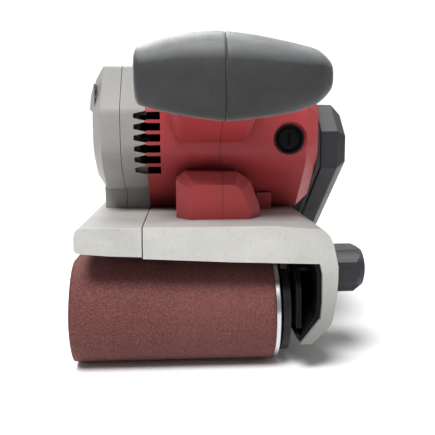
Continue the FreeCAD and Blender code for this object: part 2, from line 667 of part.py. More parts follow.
def tracking_knob():
    """An eight-sided knob with a shallow flute down each flat and a domed end."""
    corners = []
    flutes = []
    for i in range(8):
        angle = math.radians(22.5 + 45 * i)
        corners.append((IDLER_Y + KNOB_R * math.cos(angle), KNOB_Z + KNOB_R * math.sin(angle)))
        middle = math.radians(45 * i)
        y = IDLER_Y + (KNOB_R + 6) * math.cos(middle)
        z = KNOB_Z + (KNOB_R + 6) * math.sin(middle)
        flutes.append(rod_x(7.6, KNOB_X0 + 3, KNOB_X1 + 1, y, z))
    body = prism_x(corners, KNOB_X0, KNOB_X1)
    profile = [
        (KNOB_X0, 0), (KNOB_X0, 12.2), (KNOB_X0 + 1, 13.2), (KNOB_X1 - 6, 13.2),
        (KNOB_X1 - 1, 9.6), (KNOB_X1, 7),
    ]
    points = [V(x, IDLER_Y, KNOB_Z + r) for x, r in profile] + [V(KNOB_X1, IDLER_Y, KNOB_Z)]
    dome = Part.Face(loop(points)).revolve(V(0, IDLER_Y, KNOB_Z), V(1, 0, 0), 360)
    body = body.common(dome).cut(flutes)
    return body.cut(rod_x(SPINDLE_R, KNOB_X0 - 1, KNOB_X0 + 9, IDLER_Y, KNOB_Z))


def tracking_spindle():
    spindle = rod_x(SPINDLE_R, 71, KNOB_X0 + 9, IDLER_Y, KNOB_Z)
    return spindle.cut(rod_x(TRACK_SCREW_R + FIT, 70, KNOB_X0 + 5, IDLER_Y, KNOB_Z))


def tracking_screw():
    return rod_x(TRACK_SCREW_R, YOKE_RIGHT_OUT + 0.35, 79, IDLER_Y, KNOB_Z)


# ---- motor shells ----

def front_boss():
    """The block on the deck in front of the motor, with a raked face and chamfered sides."""
    outline = [
        (1, SHELL_BOTTOM), (1, 94), (5.7, 98), (33.4, 97.4), (40, 93), (45, 79.5), (45.3, SHELL_BOTTOM),
    ]
    face = [
        (7.5, SHELL_BOTTOM), (8.5, 89), (11, 92), (31, 91.6), (34.5, 89), (38.6, 79), (38.9, SHELL_BOTTOM),
    ]
    body = prism_y(outline, IDLER_Y + 6, MOTOR_Y - 30)
    nose = taper_y(face, IDLER_Y - 3, outline, IDLER_Y + 6)
    block = box(47, 55.5, MOTOR_Y - 21, MOTOR_Y - 4, SHELL_BOTTOM, 83.5)
    return [nose, body, block]


def neck_outline(x0, x1, z0, z1, corner):
    return [
        (x0 + corner, z0), (x1 - corner, z0), (x1, z0 + corner), (x1, z1 - corner),
        (x1 - corner, z1), (x0 + corner, z1), (x0, z1 - corner), (x0, z0 + corner),
    ]


def front_neck():
    at_shell = neck_outline(0.4, 40.4, 110.4, 150, 3.6)
    at_grip = neck_outline(-1.5, 43.5, 126.4, 158, 4.5)
    return taper_y(at_grip, GRIP_Y + 6, at_shell, MOTOR_Y - 36)


def grip_core():
    """The bar that joins the neck and carries both halves of the front grip."""
    return rod_x(GRIP_CORE_R, GRIP_LEFT + 8, GRIP_RIGHT - 12, GRIP_Y, GRIP_Z)


def handle_body():
    solid = rounded_prism(HANDLE_OUTLINE, 9, HANDLE_X0, HANDLE_X1)
    solid = solid.cut(rounded_prism(HANDLE_GAP, 5, HANDLE_X0 - 1, HANDLE_X1 + 1))

    def side_rim(edge):
        bounds = edge.BoundBox
        flat = bounds.XMax - bounds.XMin < 0.01
        return flat

    return round_edges(solid, 4.5, side_rim)


def handle_cavity():
    x0, x1 = HANDLE_X0 + HANDLE_WALL, HANDLE_X1 - HANDLE_WALL
    cavity = rounded_prism(inset(HANDLE_OUTLINE, HANDLE_WALL + 1), 6, x0, x1)
    return cavity.cut(rounded_prism(inset(HANDLE_GAP, -HANDLE_WALL - 1), 8, x0 - 1, x1 + 1))


def shell_body():
    end_x = SHELL_RIGHT - END_LENGTH
    barrel = rounded_prism(SHELL_OUTLINE, SHELL_ROUNDS, SHELL_LEFT, end_x)
    end = rounded_taper(
        SHELL_OUTLINE, SHELL_ROUNDS, end_x,
        inset(SHELL_OUTLINE, END_INSET), scaled(SHELL_ROUNDS, 0.8), SHELL_RIGHT)
    core = grip_core()
    return fuse_all([barrel, end, handle_body(), front_neck(), core] + front_boss())


def shell_cavities():
    hollow_outline = inset(SHELL_OUTLINE, SHELL_WALL)
    hollow = rounded_prism(hollow_outline, scaled(SHELL_ROUNDS, 0.85), SHELL_LEFT - 1, SHELL_RIGHT - 9)
    end_hollow = rod_x(BEARING_R, SHELL_RIGHT - 10, SHELL_RIGHT - 2, MOTOR_Y, MOTOR_Z)
    shaft_hole = rod_x(7.5, SHELL_RIGHT - 4, SHELL_RIGHT + 1, MOTOR_Y, MOTOR_Z)
    boss_room = [(4.5, 77.5), (4.5, 91.5), (36.5, 91.5), (41, 80), (41, 77.5)]
    boss_hollow = prism_y(boss_room, IDLER_Y + 9, MOTOR_Y - 38)
    trigger_slot = box(PARTING_X - TRIGGER_X - 0.4, PARTING_X + TRIGGER_X + 0.4,
                       TRIGGER_Y0 - 0.4, TRIGGER_Y1 + 0.4, 124, 141)
    lock_hole = rod_x(4.3, HANDLE_X0 - 1, HANDLE_X0 + 8, 62, 148)
    gland_hole = rod_y(7, 155, 175, PARTING_X, 96)
    windows = [brush_window(-1, BRUSH_FRONT), brush_window(1, BRUSH_REAR)]
    return [hollow, end_hollow, shaft_hole, boss_hollow, handle_cavity(),
            trigger_slot, lock_hole, gland_hole] + windows + vent_slots(SHELL_LEFT - 1, -7.2)


def brush_window(side, surface):
    """The hole over a brush cap: a funnel in the shell's wall down to the holder's cup."""
    start = V(BRUSH_X, MOTOR_Y + side * surface, MOTOR_Z)
    inwards = V(0, -side, 0)
    funnel = Part.makeCone(BRUSH_WINDOW_R, BRUSH_CUP_R + FIT, BRUSH_CUP_DEPTH, start, inwards)
    bore = Part.makeCylinder(BRUSH_CUP_R + FIT, surface, start, inwards)
    return funnel.fuse(bore)


def vent_slots(x0, x1):
    slots = []
    for i in range(VENT_COUNT):
        z = VENT_BOTTOM + VENT_PITCH * i
        slots.append(box(x0, x1, MOTOR_Y - 50, MOTOR_Y - 25, z, z + VENT_HEIGHT))
    return slots


def shell_half(x0, x1):
    solid = shell_body().cut(shell_cavities() + [rear_grip_sleeve()])
    half = solid.common(box(x0, x1, -300, 300, 0, 300))
    return max(half.Solids, key=lambda piece: piece.Volume)


def motor_shell_left():
    return shell_half(SHELL_LEFT - 10, PARTING_X - 0.1)


def motor_shell_right():
    return shell_half(PARTING_X + 0.1, SHELL_RIGHT + 1)


def rear_grip_sleeve():
    """The rubber skin along the palm side of the rear handle."""
    reach = [(46, 140), (46, 175), (185, 175), (185, 112), (135, 112), (110, 140)]
    skin = handle_body().common(prism_x(reach, HANDLE_X0 - 1, HANDLE_X1 + 1))
    return skin.cut(rounded_prism(inset(HANDLE_OUTLINE, 2.5), 8, HANDLE_X0 - 1, HANDLE_X1 + 1))


def rear_grip_left():
    return rear_grip_sleeve().common(box(0, PARTING_X - 0.1, 0, 200, 80, 200))


def rear_grip_right():
    return rear_grip_sleeve().common(box(PARTING_X + 0.1, 60, 0, 200, 80, 200))


def grip_barrel():
    """The rubber barrel of the front grip, thickest near its seam and blunt at both ends."""
    outline = [
        (GRIP_LEFT, 9), (GRIP_LEFT + 1.8, 13), (-1, 17.3), (PARTING_X - 3, 21), (47, 19.0),
        (62, 16.2), (71.5, 13.2), (76.2, 9.0),
    ]
    points = [V(x, GRIP_Y, GRIP_Z + r) for x, r in outline]
    curve = Part.BSplineCurve()
    curve.interpolate(points)
    left, right = V(GRIP_LEFT, GRIP_Y, GRIP_Z), V(GRIP_RIGHT, GRIP_Y, GRIP_Z)
    edges = [
        Part.LineSegment(left, points[0]).toShape(),
        curve.toShape(),
        Part.LineSegment(points[-1], right).toShape(),
        Part.LineSegment(right, left).toShape(),
    ]
    return Part.Face(Part.Wire(edges)).revolve(left, V(1, 0, 0), 360)


def grip_half(x0, x1):
    core = grip_core()
    half = grip_barrel().cut([core, front_neck()]).common(box(x0, x1, -300, 0, 100, 200))
    return max(half.Solids, key=lambda piece: piece.Volume)


def front_grip_left():
    return grip_half(GRIP_LEFT - 5, PARTING_X - 0.3)


def front_grip_right():
    return grip_half(PARTING_X + 0.3, GRIP_RIGHT + 5)


# ---- fan housing and dust path ----

def fan_pedestal(x0, x1):
    return box(x0, x1, MOTOR_Y - 5, MOTOR_Y + 26, SHELL_BOTTOM, FAN_BOTTOM + 1)


def fan_housing():
    right = SEAM_X
    body = rounded_prism(FAN_OUTLINE, FAN_ROUNDS, FAN_SPLIT_X, right)
    solid = fuse_all([body, fan_pedestal(FAN_SPLIT_X, right)])
    left_well = rod_x(FAN_CAVITY_R, FAN_SPLIT_X - 1, FAN_SPLIT_X + 2.5, MOTOR_Y, MOTOR_Z)
    right_well = rod_x(FAN_CAVITY_R + 1, right - 4, right + 1, MOTOR_Y, MOTOR_Z)
    seat = rod_x(BEARING_R, FAN_SPLIT_X + 2, right + 1, MOTOR_Y, MOTOR_Z)
    spout_hole = rod_y(14, MOTOR_Y + 25, MOTOR_Y + 50, DUST_X, DUST_Z)
    wedges = []
    for slot in vent_slots(-21, right + 1):
        bounds = slot.BoundBox
        middle = (bounds.ZMin + bounds.ZMax) / 2
        points = [
            (-21.5, middle - 1.2), (right + 1, bounds.ZMin - 0.8),
            (right + 1, bounds.ZMax + 0.8), (-21.5, middle + 1.2),
        ]
        wedges.append(prism_y(points, MOTOR_Y - 50, MOTOR_Y - 24))
    solid = solid.cut([left_well, right_well, seat, spout_hole] + wedges)
    return max(solid.Solids, key=lambda piece: piece.Volume)


def fan_cover():
    split = FAN_SPLIT_X - 0.3
    shoulder = FAN_LEFT + FAN_CHAMFER
    face = inset(FAN_OUTLINE, FAN_INSET)
    full = rounded_prism(FAN_OUTLINE, FAN_ROUNDS, shoulder, split)
    crown = rounded_taper(FAN_OUTLINE, FAN_ROUNDS, shoulder, face, scaled(FAN_ROUNDS, 0.7), FAN_LEFT)
    brow_outline = [
        (FAN_LEFT + 1, 128.5), (FAN_LEFT - 1.6, 131), (FAN_LEFT - 0.8, 138), (FAN_LEFT + 1, 145),
    ]
    brow = prism_y(brow_outline, MOTOR_Y - 31, MOTOR_Y + 14)
    solid = fuse_all([full, crown, brow, fan_pedestal(FAN_LEFT + 2.5, split)])
    well = rod_x(FAN_CAVITY_R, FAN_LEFT + 2.4, split + 1, MOTOR_Y, MOTOR_Z)
    duct = box(-40, -31, MOTOR_Y + 1, MOTOR_Y + 21, 70, 100)
    spout_hole = rod_y(14, MOTOR_Y + 20, MOTOR_Y + 50, DUST_X, DUST_Z)
    heads = [rod_x(3.4, FAN_LEFT - 1, FAN_LEFT + 1.5, y, z) for y, z in FAN_SCREWS]
    return solid.cut([well, duct, spout_hole] + heads)


def fan_cover_screws():
    screws = []
    for y, z in FAN_SCREWS:
        head = rod_x(3.2, FAN_LEFT - 0.2, FAN_LEFT + 1.5, y, z)
        screws.append(head.cut(rod_x(1.5, FAN_LEFT - 1, FAN_LEFT + 0.8, y, z)))
    return screws


def dust_spout():
    face_y = MOTOR_Y + 42
    flange = box(DUST_X - DUST_R, DUST_X + DUST_R, face_y, face_y + 4, DUST_Z - DUST_R, DUST_Z + 10)
    tube = rod_y(DUST_R, face_y + 4, face_y + 44, DUST_X, DUST_Z)
    pipe = fuse_all([flange.common(box(-60, -10, -20, 0, 98, 133)), tube])
    return pipe.cut(rod_y(13.8, face_y - 1, face_y + 50, DUST_X, DUST_Z))


def cord_gland():
    collar = rod_y(7, 161, 168.5, PARTING_X, 96).fuse(rod_y(8.4, 168.5, 171.5, PARTING_X, 96))
    return collar.cut(rod_y(4.2, 155, 175, PARTING_X, 96))


# ---- motor insides ----

def stator_core():
    ring = tube_x(STATOR_R, ROTOR_R + 5.5, 8, 42, MOTOR_Y, MOTOR_Z)
    poles = tube_x(STATOR_R - 1, ROTOR_R + 0.6, 8, 42, MOTOR_Y, MOTOR_Z)
    poles = poles.common(box(0, 50, MOTOR_Y - 14, MOTOR_Y + 14, MOTOR_Z - 40, MOTOR_Z + 40))
    return fuse_all([ring, poles])


def stator_coils():
    coils = []
    for x0, x1 in ((0, 7.8), (42.2, 50)):
        ring = tube_x(STATOR_R - 2, ROTOR_R + 3, x0, x1, MOTOR_Y, MOTOR_Z)
        coils.append(ring.cut(box(x0 - 1, x1 + 1, MOTOR_Y - 3, MOTOR_Y + 3, 60, 170)))
    return [piece for ring in coils for piece in ring.Solids]


def armature_shaft():
    return rod_x(SHAFT_R, FAN_LEFT + 3, PULLEY_X1 + 1.5, MOTOR_Y, MOTOR_Z)


def armature_core():
    core = tube_x(ROTOR_R, SHAFT_R, 8, 42, MOTOR_Y, MOTOR_Z)
    slots = []
    for i in range(12):
        angle = math.radians(30 * i)
        y = MOTOR_Y + 15.6 * math.cos(angle)
        z = MOTOR_Z + 15.6 * math.sin(angle)
        slots.append(rod_x(2.6, 7, 43, y, z))
    return core.cut(slots)


def armature_windings():
    return [tube_x(15.5, SHAFT_R, x0, x1, MOTOR_Y, MOTOR_Z) for x0, x1 in ((1, 8), (42, 50))]


def commutator():
    ring = tube_x(12, SHAFT_R, 54, 70, MOTOR_Y, MOTOR_Z)
    slits = []
    for i in range(12):
        slit = box(55, 71, MOTOR_Y + 10, MOTOR_Y + 13, MOTOR_Z - 0.2, MOTOR_Z + 0.2)
        slit.rotate(V(0, MOTOR_Y, MOTOR_Z), V(1, 0, 0), 30 * i + 15)
        slits.append(slit)
    return ring.cut(slits)


def bladed_wheel(x_disc, x_tip, blade_count, sweep):
    """A backplate and hub with straight blades leaning by the sweep angle."""
    low, high = min(x_disc, x_tip), max(x_disc, x_tip)
    side = 1 if x_tip > x_disc else -1
    disc_x = sorted((x_disc, x_disc + 2 * side))
    parts = [rod_x(FAN_R, disc_x[0], disc_x[1], MOTOR_Y, MOTOR_Z), rod_x(9, low, high, MOTOR_Y, MOTOR_Z)]
    for i in range(blade_count):
        blade = box(low, high, MOTOR_Y - 0.7, MOTOR_Y + 0.7, MOTOR_Z + 8, MOTOR_Z + FAN_R - 0.6)
        blade.rotate(V(0, MOTOR_Y, MOTOR_Z + 8), V(1, 0, 0), sweep)
        blade.rotate(V(0, MOTOR_Y, MOTOR_Z), V(1, 0, 0), 360 * i / blade_count)
        parts.append(blade.common(rod_x(FAN_R, low, high, MOTOR_Y, MOTOR_Z)))
    return fuse_all(parts).cut(rod_x(SHAFT_R, low - 1, high + 1, MOTOR_Y, MOTOR_Z))


def cooling_fan():
    return bladed_wheel(-3, -13.5, 9, 20)


def dust_impeller():
    return bladed_wheel(IMPELLER_X0, IMPELLER_X1, 8, 35)


def motor_bearing_left():
    return tube_x(BEARING_R, SHAFT_R + FIT, FAN_SPLIT_X + 2.5, FAN_SPLIT_X + 9.5, MOTOR_Y, MOTOR_Z)


def motor_bearing_right():
    return tube_x(BEARING_R, SHAFT_R + FIT, SHELL_RIGHT - 9, SHELL_RIGHT - 2, MOTOR_Y, MOTOR_Z)


def brush_set(side):
    """Holder, brush and cap on one side of the commutator: side -1 is the front, +1 the rear."""
    surface = BRUSH_FRONT if side < 0 else BRUSH_REAR

    def span(a, b):
        return sorted((MOTOR_Y + side * a, MOTOR_Y + side * b))

    y0, y1 = span(14, surface - BRUSH_CUP_DEPTH)
    holder = rod_y(BRUSH_CUP_R, y0, y1, BRUSH_X, MOTOR_Z)
    holder = holder.cut(box(BRUSH_X - 3.6, BRUSH_X + 3.6, y0 - 1, y1 + 1, MOTOR_Z - 5, MOTOR_Z + 5))
    y0, y1 = span(surface - BRUSH_FLOOR_DEPTH, surface)
    holder = holder.cut(rod_y(BRUSH_CUP_R - 0.9, y0, y1, BRUSH_X, MOTOR_Z))
    y0, y1 = span(surface - BRUSH_SEAT_DEPTH, surface)
    holder = holder.cut(rod_y(BRUSH_CAP_R + FIT, y0, y1, BRUSH_X, MOTOR_Z))
    y0, y1 = span(12.3, BRUSH_END)
    brush = box(BRUSH_X - 3.4, BRUSH_X + 3.4, y0, y1, MOTOR_Z - 4.8, MOTOR_Z + 4.8)
    y0, y1 = span(surface - BRUSH_SEAT_DEPTH, surface - BRUSH_CAP_DEPTH)
    cap = rod_y(BRUSH_CAP_R, y0, y1, BRUSH_X, MOTOR_Z)
    y0, y1 = span(surface - BRUSH_CAP_DEPTH - 1.4, surface)
    slot = box(BRUSH_X - 0.7, BRUSH_X + 0.7, y0, y1, MOTOR_Z - 3.2, MOTOR_Z + 3.2)
    start = V(BRUSH_X, MOTOR_Y + side * BRUSH_END, MOTOR_Z)
    length = surface - BRUSH_SEAT_DEPTH - BRUSH_END
    spring = coil(2.6, 0.35, length, 5, start, V(0, side, 0))
    return holder, brush, cap.cut(slot), spring


def brush_holders():
    return [brush_set(-1)[0], brush_set(1)[0]]


def carbon_brushes():
    return [brush_set(-1)[1], brush_set(1)[1]]


def brush_springs():
    return [brush_set(-1)[3], brush_set(1)[3]]


def brush_cap_front():
    return brush_set(-1)[2]


def brush_cap_rear():
    return brush_set(1)[2]


# ---- controls and fasteners ----

def trigger():
    x0, x1 = PARTING_X - TRIGGER_X, PARTING_X + TRIGGER_X
    outline = [
        (TRIGGER_Y0, 138), (TRIGGER_Y0, 131), (TRIGGER_Y0 + 5, 124), (TRIGGER_Y0 + 16, 122.5),
        (TRIGGER_Y1 - 4, 127), (TRIGGER_Y1, 132), (TRIGGER_Y1, 138),
    ]
    paddle = prism_x(outline, x0, x1)
    stem = box(PARTING_X - 3, PARTING_X + 3, TRIGGER_Y0 + 8, TRIGGER_Y1 - 8, 137, 139.5)
    return fuse_all([paddle, stem])


def lock_button():
    return rod_x(4, HANDLE_X0 - 3, HANDLE_X0 + 8, 62, 148)


def switch_body():
    body = box(15, 35, TRIGGER_Y0 - 2, TRIGGER_Y1 + 4, 145, 152.4)
    terminals = [box(x, x + 2.5, TRIGGER_Y0 - 6, TRIGGER_Y0 - 2, 147, 151) for x in (19, 28.5)]
    return fuse_all([body] + terminals)


def shell_screws():
    """Screw heads that clamp the two shells together, let into the right shell's handle."""
    screws = []
    for y, z, face in SHELL_SCREWS:
        head = rod_x(3.1, face, face + 1.2, y, z)
        screws.append(head.cut(rod_x(1.4, face + 0.5, face + 2, y, z)))
    return screws


NODES = {
    "main_frame": main_frame,
    "hood_side_piece": hood_side_piece,
    "deck_screws": deck_screws,
    "side_lining": side_lining,
    "platen_pad": platen_pad,
    "platen_plate": platen_plate,
    "platen_screws": platen_screws,
    "sanding_belt": sanding_belt,
    "idler_roller": idler_roller,
    "idler_end_ring": idler_end_ring,
    "idler_bearings": idler_bearings,
    "idler_axle": idler_axle,
    "idler_yoke": idler_yoke,
    "yoke_carrier": yoke_carrier,
    "yoke_pivot_pin": yoke_pivot_pin,
    "tension_spring": tension_spring,
    "lever_crank": lever_crank,
    "tension_lever": tension_lever,
    "tracking_knob": tracking_knob,
    "tracking_spindle": tracking_spindle,
    "tracking_screw": tracking_screw,
    "drive_shaft": drive_shaft,
    "drive_roller": drive_roller,
    "roller_lagging": roller_lagging,
    "drive_bearings": drive_bearings,
    "roller_pulley": roller_pulley,
    "motor_pulley": motor_pulley,
    "drive_belt": drive_belt,
    "drive_cover": drive_cover,
    "cover_screws": cover_screws,
    "motor_shell_left": motor_shell_left,
    "motor_shell_right": motor_shell_right,
    "shell_screws": shell_screws,
    "front_grip_left": front_grip_left,
    "front_grip_right": front_grip_right,
    "rear_grip_left": rear_grip_left,
    "rear_grip_right": rear_grip_right,
    "fan_housing": fan_housing,
    "fan_cover": fan_cover,
    "fan_cover_screws": fan_cover_screws,
    "dust_spout": dust_spout,
    "cord_gland": cord_gland,
    "stator_core": stator_core,
    "stator_coils": stator_coils,
    "armature_shaft": armature_shaft,
    "armature_core": armature_core,
    "armature_windings": armature_windings,
    "commutator": commutator,
    "cooling_fan": cooling_fan,
    "dust_impeller": dust_impeller,
    "motor_bearing_left": motor_bearing_left,
    "motor_bearing_right": motor_bearing_right,
    "brush_holders": brush_holders,
    "carbon_brushes": carbon_brushes,
    "brush_springs": brush_springs,
    "brush_cap_front": brush_cap_front,
    "brush_cap_rear": brush_cap_rear,
    "trigger": trigger,
    "lock_button": lock_button,
    "switch_body": switch_body,
}


def main():
    os.makedirs("parts", exist_ok=True)
    for name, make in NODES.items():
        made = make()
        shape = Part.makeCompound(made) if isinstance(made, list) else made
        shape.exportStep(os.path.join("parts", name + ".step"))
        print(name, len(shape.Solids), round(shape.Volume / 1000, 2), shape.isValid())


main()
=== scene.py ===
"""Looks of a handheld belt sander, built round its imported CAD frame. Metres, +Z up, front to -Y."""
import json
import math

import bmesh
import bpy
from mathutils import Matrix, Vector


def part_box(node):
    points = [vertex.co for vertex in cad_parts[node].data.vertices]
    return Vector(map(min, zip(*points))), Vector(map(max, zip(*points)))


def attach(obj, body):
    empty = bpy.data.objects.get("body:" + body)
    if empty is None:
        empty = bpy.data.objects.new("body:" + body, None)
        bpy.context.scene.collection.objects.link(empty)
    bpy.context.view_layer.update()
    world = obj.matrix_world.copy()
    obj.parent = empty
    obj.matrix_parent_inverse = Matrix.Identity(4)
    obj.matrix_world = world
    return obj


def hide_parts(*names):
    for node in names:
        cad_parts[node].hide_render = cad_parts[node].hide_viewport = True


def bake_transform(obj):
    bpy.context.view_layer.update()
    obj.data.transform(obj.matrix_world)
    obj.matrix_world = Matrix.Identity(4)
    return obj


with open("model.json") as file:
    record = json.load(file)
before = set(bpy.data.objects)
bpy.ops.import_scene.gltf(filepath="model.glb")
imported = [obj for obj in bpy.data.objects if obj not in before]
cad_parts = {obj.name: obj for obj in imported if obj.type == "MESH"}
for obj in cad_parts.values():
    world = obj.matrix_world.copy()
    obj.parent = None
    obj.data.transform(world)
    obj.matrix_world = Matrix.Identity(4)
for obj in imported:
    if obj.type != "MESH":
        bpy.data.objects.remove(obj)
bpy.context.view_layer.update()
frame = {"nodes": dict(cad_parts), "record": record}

NODES = frame["nodes"]
MM = 0.001


# ---- shader helpers ----

class Shader:
    """A material's node tree, with short calls for the nodes used here."""

    def __init__(self, name):
        self.material = bpy.data.materials.new(name)
        self.material.use_nodes = True
        self.tree = self.material.node_tree
        self.tree.nodes.clear()
        self.surface = self.add("ShaderNodeBsdfPrincipled")
        output = self.add("ShaderNodeOutputMaterial")
        self.link(self.surface.outputs[0], output.inputs["Surface"])
        self.place = self.add("ShaderNodeTexCoord").outputs["Object"]

    def add(self, kind, **inputs):
        """A new node, its inputs set by name, with underscores for spaces."""
        node = self.tree.nodes.new(kind)
        for key, value in inputs.items():
            self.put(node.inputs[key.replace("_", " ")], value)
        return node

    def link(self, output, socket):
        self.tree.links.new(output, socket)

    def put(self, socket, value):
        """Links another node's output to the socket, or sets its plain value."""
        if isinstance(value, bpy.types.NodeSocket):
            self.link(value, socket)
        else:
            socket.default_value = value

    def set(self, **inputs):
        """Sets inputs of the surface by name, with underscores for spaces."""
        for key, value in inputs.items():
            self.put(self.surface.inputs[key.replace("_", " ")], value)

    def stretched(self, scale):
        """The place on the piece with its axes scaled, for grain that runs one way."""
        return self.add("ShaderNodeMapping", Vector=self.place, Scale=scale).outputs[0]

    def noise(self, scale, detail=3.0, roughness=0.55, place=None):
        node = self.add("ShaderNodeTexNoise", Vector=place or self.place, Scale=scale, Detail=detail)
        node.inputs["Roughness"].default_value = roughness
        return node.outputs["Fac"]

    def cells(self, scale):
        return self.add("ShaderNodeTexVoronoi", Vector=self.place, Scale=scale)

    def ramp(self, factor, stops):
        """A blend through the colours of the (position, colour) stops."""
        node = self.add("ShaderNodeValToRGB", Fac=factor)
        ramp = node.color_ramp
        while len(ramp.elements) < len(stops):
            ramp.elements.new(0.5)
        for element, (position, colour) in zip(ramp.elements, stops):
            element.position = position
            element.color = colour
        return node.outputs["Color"]

    def span(self, factor, low, high, to_low, to_high):
        """The factor taken from the range low..high to to_low..to_high, and held at its ends."""
        node = self.add("ShaderNodeMapRange", Value=factor)
        for name, value in (("From Min", low), ("From Max", high), ("To Min", to_low), ("To Max", to_high)):
            node.inputs[name].default_value = value
        return node.outputs[0]

    def mix(self, factor, a, b):
        """Colour a, turning to colour b as the factor goes from 0 to 1."""
        node = self.tree.nodes.new("ShaderNodeMix")
        node.data_type = "RGBA"
        self.put(node.inputs[0], factor)
        self.put(node.inputs[6], a)
        self.put(node.inputs[7], b)
        return node.outputs[2]

    def math(self, operation, a, b):
        node = self.tree.nodes.new("ShaderNodeMath")
        node.operation = operation
        self.put(node.inputs[0], a)
        self.put(node.inputs[1], b)
        return node.outputs[0]

    def bump(self, height, distance, strength=1.0, under=None):
        node = self.add("ShaderNodeBump", Height=height, Distance=distance, Strength=strength)
        if under:
            self.link(under, node.inputs["Normal"])
        return node.outputs["Normal"]

    def shut_in(self, distance, inside=False):
        """How open the surface is round a point: 0 in a crease. With inside, 0 on an outer edge."""
        node = self.add("ShaderNodeAmbientOcclusion", Distance=distance)
        node.samples = 8
        node.inside = inside
        return node.outputs["AO"]

    def upward(self, low, high, most):
        """How much a surface looks up: nothing on walls, the most on faces that look up. It places dust with
        painted top light, and the casting's painted shade on its tops.
        """
        normal = self.add("ShaderNodeNewGeometry").outputs["Normal"]
        apart = self.add("ShaderNodeSeparateXYZ", Vector=normal)
        return self.span(apart.outputs["Z"], low, high, 0.0, most)


def tint(colour, factor):
    """The colour made lighter or darker, with its alpha."""
    return tuple(c * factor for c in colour) + (1.0,)


# ---- materials ----

DARK_GREY = (0.028, 0.027, 0.033)
PLASTIC_DUST_AND_TOP_LIGHT = (0.34, 0.335, 0.33, 1)
RUBBER_DUST_AND_TOP_LIGHT = (0.34, 0.35, 0.355, 1)
BARE_CASTING = (0.80, 0.79, 0.77, 1)


def moulded(name, colour, roughness, grain=1.0, wear=0.25, painted_shade_and_grime=0.35, light=1.5, gloss=0.3, dust_and_top_light=0.0,
            reach=7):
    """Spark-textured moulded plastic: fine grain, faint blotches, paler worn edges, painted shade in
    creases, and dust with painted top light on faces that look up.
    """
    s = Shader(name)
    blotch = s.noise(28, 4)
    grain_noise = s.noise(1500 / grain, 2, 0.6)
    base = s.ramp(blotch, [(0.3, tint(colour, 0.90)), (0.7, tint(colour, 1.10))])
    speck = s.span(grain_noise, 0.35, 0.65, 0.0, 0.22)
    base = s.mix(speck, base, tint(colour, 1.35))
    edge = s.span(s.shut_in(1.1 * MM, inside=True), 0.35, 0.75, wear, 0.0)
    pale = tuple(min(1, c * light + 0.05) for c in colour) + (1.0,)
    base = s.mix(s.math("MULTIPLY", edge, s.noise(160, 4)), base, pale)
    # Dust on faces that look up, which also paints the light falling on their tops
    if dust_and_top_light:
        settled_dust_and_top_light = s.math("MULTIPLY", s.upward(0.3, 0.95, dust_and_top_light), s.span(blotch, 0.3, 0.7, 0.75, 1.0))
        base = s.mix(settled_dust_and_top_light, base, PLASTIC_DUST_AND_TOP_LIGHT)
    # Painted shade: creases and places tucked under other parts are darkened, more widely with a longer
    # reach
    crease_shade = s.span(s.shut_in(reach * MM), 0.25, 0.8, painted_shade_and_grime, 0.0)
    base = s.mix(crease_shade, base, tint(colour, 0.45))
    height = s.noise(1500 / grain, 3, 0.7)
    s.set(Base_Color=base, Roughness=s.span(s.noise(70, 5), 0.3, 0.7, roughness - 0.07, roughness + 0.07),
          Normal=s.bump(height, 0.07 * MM * grain, 0.9), Specular_IOR_Level=gloss)
    return s.material


# The casting is painted dark as shade behind the drive cover, right of and behind these places, in
# millimetres
SHADE_PATCH_LEFT = 79.6
SHADE_PATCH_FRONT = -100.0


def cast_paint(name, colour, shade_patch_colour):
    """Powder-coated casting: orange peel, rubbed edges, painted shade in corners, recesses and on faces that
    look up, darker low down with grime and painted shade, and a patch painted dark as shade behind the drive
    cover.
    """
    s = Shader(name)
    blotch = s.noise(16, 6, 0.65)
    base = s.ramp(blotch, [(0.30, tint(colour, 0.80)), (0.68, tint(colour, 1.07))])
    rubbed = s.noise(60, 5, 0.7, place=s.stretched((0.3, 1.0, 1.0)))
    base = s.mix(s.span(rubbed, 0.50, 0.72, 0.0, 0.35), base, tint(colour, 0.68))
    fleck = s.cells(900).outputs["Distance"]
    base = s.mix(s.span(fleck, 0.12, 0.3, 0.35, 0.0), base, tint(colour, 1.3))
    dark_fleck = s.noise(700, 2, 0.7)
    base = s.mix(s.span(dark_fleck, 0.60, 0.72, 0.0, 0.45), base, tint(colour, 0.6))
    edge = s.span(s.shut_in(1.3 * MM, inside=True), 0.35, 0.72, 0.55, 0.0)
    base = s.mix(s.math("MULTIPLY", edge, s.noise(140, 4)), base, BARE_CASTING)
    # Painted shade: creases and corners are darkened
    crease_shade = s.span(s.shut_in(9 * MM), 0.2, 0.8, 0.5, 0.0)
    base = s.mix(crease_shade, base, tint(colour, 0.40))
    # Painted shade: deep recesses are darkened strongly
    recess_shade = s.span(s.shut_in(16 * MM), 0.10, 0.42, 0.9, 0.0)
    base = s.mix(recess_shade, base, tint(colour, 0.12))
    # Painted shade: faces that look up are darkened
    base = s.mix(s.upward(0.5, 0.95, 0.32), base, tint(colour, 0.6))
    # Darker towards the bottom: grime with painted shade
    apart = s.add("ShaderNodeSeparateXYZ", Vector=s.place)
    ragged = s.math("ADD", apart.outputs["Z"], s.math("MULTIPLY", s.noise(30, 3), 6 * MM))
    painted_shade_and_grime = s.span(ragged, 18 * MM, 64 * MM, 0.88, 0.0)
    base = s.mix(painted_shade_and_grime, base, tint(colour, 0.30))
    # Painted shade: the casting right of and behind these places is painted dark
    right = s.math("GREATER_THAN", apart.outputs["X"], SHADE_PATCH_LEFT * MM)
    behind = s.math("GREATER_THAN", apart.outputs["Y"], SHADE_PATCH_FRONT * MM)
    base = s.mix(s.math("MULTIPLY", right, behind), base, tint(shade_patch_colour, 1))
    peel = s.bump(s.noise(520, 2, 0.5), 0.10 * MM, 0.7)
    s.set(Base_Color=base, Roughness=s.span(s.noise(90, 4), 0.3, 0.7, 0.42, 0.58),
          Normal=s.bump(s.noise(1600, 2, 0.6), 0.05 * MM, 0.8, under=peel))
    return s.material


